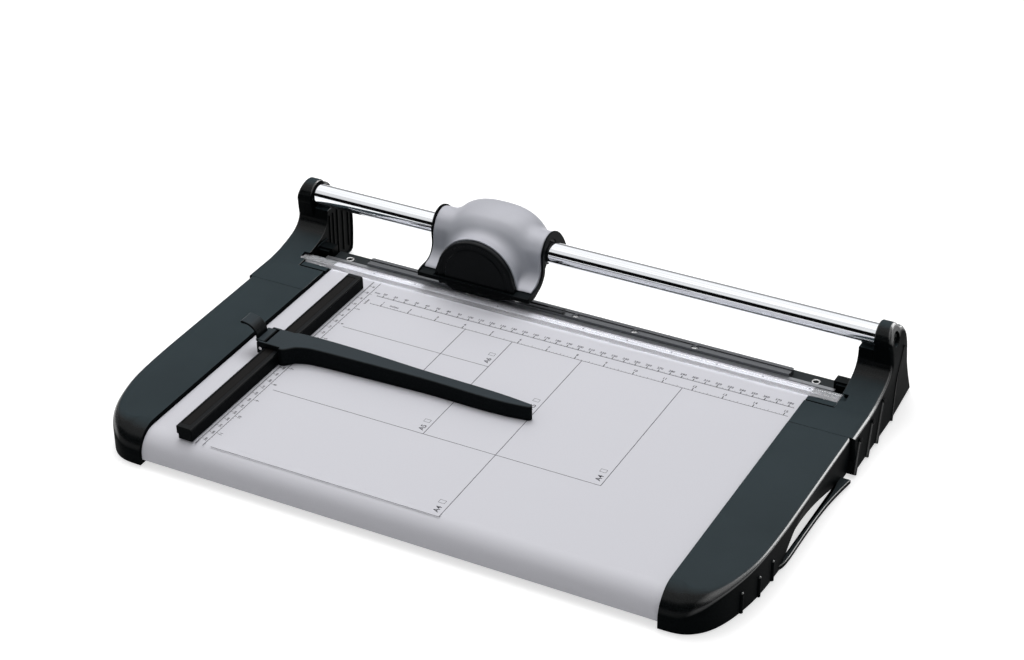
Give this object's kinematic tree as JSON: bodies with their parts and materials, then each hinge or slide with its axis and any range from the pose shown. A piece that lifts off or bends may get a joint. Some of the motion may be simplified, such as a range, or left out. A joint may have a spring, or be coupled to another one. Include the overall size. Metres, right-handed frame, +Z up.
{
  "type": "rotary paper trimmer",
  "caption": "Desk paper trimmer: flat ruled table, sliding head with a round blade on a rail, spring-lifted clear clamp strip, side guide bar and locking stop arm.",
  "frame": {"origin": "bottom centre of the bounding box, on the desk under the four rubber feet", "axes": "+X right along the rail as the user sits, +Y away from the user towards the rail, +Z up"},
  "size_m": [0.548, 0.3664, 0.0981],
  "materials": {
    "table_paint": "pale silver grey powder paint, satin",
    "rail_chrome": "bright chrome plate",
    "slate_plastic": "dark slate grey, fine moulded grain",
    "black_plastic": "black, satin",
    "gloss_black": "black, semi-gloss",
    "silver_plastic": "silver grey paint, satin",
    "clear_plastic": "clear, polished",
    "inlay_plastic": "dark inlay strip, plain",
    "profile_aluminium": "drawn along its length",
    "beam_paint": "dark paint",
    "knife_steel": "ground along its length",
    "blade_steel": "ground bevel",
    "screw_steel": "zinc plated",
    "spring_steel": "drawn wire",
    "foot_rubber": "matte"
  },
  "bodies": {
    "base": {"base_table": "table_paint", "rail_tube": "rail_chrome", "rail_plug_left": "screw_steel", "rail_plug_right": "screw_steel", "rail_screw_left": "screw_steel", "rail_screw_right": "screw_steel", "front_cap_left": "slate_plastic", "front_cap_right": "slate_plastic", "rear_housing_left": "slate_plastic", "rear_housing_right": "slate_plastic", "side_cover_left": "black_plastic", "side_cover_right": "black_plastic", "bed_beam": "beam_paint", "bed_knife": "knife_steel", "bed_profile": "profile_aluminium", "profile_screw_1": "screw_steel", "profile_screw_2": "screw_steel", "profile_screw_3": "screw_steel", "profile_screw_4": "screw_steel", "profile_screw_5": "screw_steel", "plate_screw_left": "screw_steel", "plate_screw_right": "screw_steel", "end_block_left": "black_plastic", "end_block_right": "black_plastic", "clamp_spring_left": "spring_steel", "clamp_spring_right": "spring_steel", "guide_bar": "black_plastic", "guide_inlay": "inlay_plastic", "guide_screw_front": "screw_steel", "guide_screw_rear": "screw_steel", "foot_front_left": "foot_rubber", "foot_front_right": "foot_rubber", "foot_rear_left": "foot_rubber", "foot_rear_right": "foot_rubber"},
    "head": {"head_frame": "black_plastic", "head_cover": "silver_plastic", "head_bush_left": "black_plastic", "head_bush_right": "black_plastic", "blade_housing": "gloss_black", "blade_axle": "screw_steel"},
    "blade": {"blade_disc": "blade_steel", "blade_hub": "black_plastic"},
    "strip": {"clamp_strip": "clear_plastic"},
    "stop": {"stop_arm": "slate_plastic", "stop_lever_pin": "screw_steel"},
    "lever": {"stop_lever": "black_plastic"}
  },
  "joints": [
    {"name": "head_slide", "type": "slide", "parent": "base", "child": "head", "axis": [1, 0, 0], "range_m": [-0.1047, 0.2703]},
    {"name": "blade_spin", "type": "hinge", "parent": "head", "child": "blade", "pos_m": [-0.0828, 0.11225, 0.0485], "axis": [0, 1, 0], "continuous": true},
    {"name": "strip_press", "type": "slide", "parent": "base", "child": "strip", "axis": [0, 0, 1], "range_m": [-0.001, 0], "stiffness_N_per_m": 400, "springref_m": 0.001, "deforming": ["clamp_spring_left", "clamp_spring_right"]},
    {"name": "stop_slide", "type": "slide", "parent": "base", "child": "stop", "axis": [0, 1, 0], "range_m": [-0.115, 0.1]},
    {"name": "lever_tilt", "type": "hinge", "parent": "stop", "child": "lever", "pos_m": [-0.1925, -0.03575, 0.037], "axis": [0, 1, 0], "range_deg": [0, 12], "stiffness_Nm_per_rad": 0.05, "springref_deg": -17.19}
  ],
  "couplings": [
    {"joint": "blade_spin", "follows": "head_slide", "rad_per_m": 44.444}
  ]
}
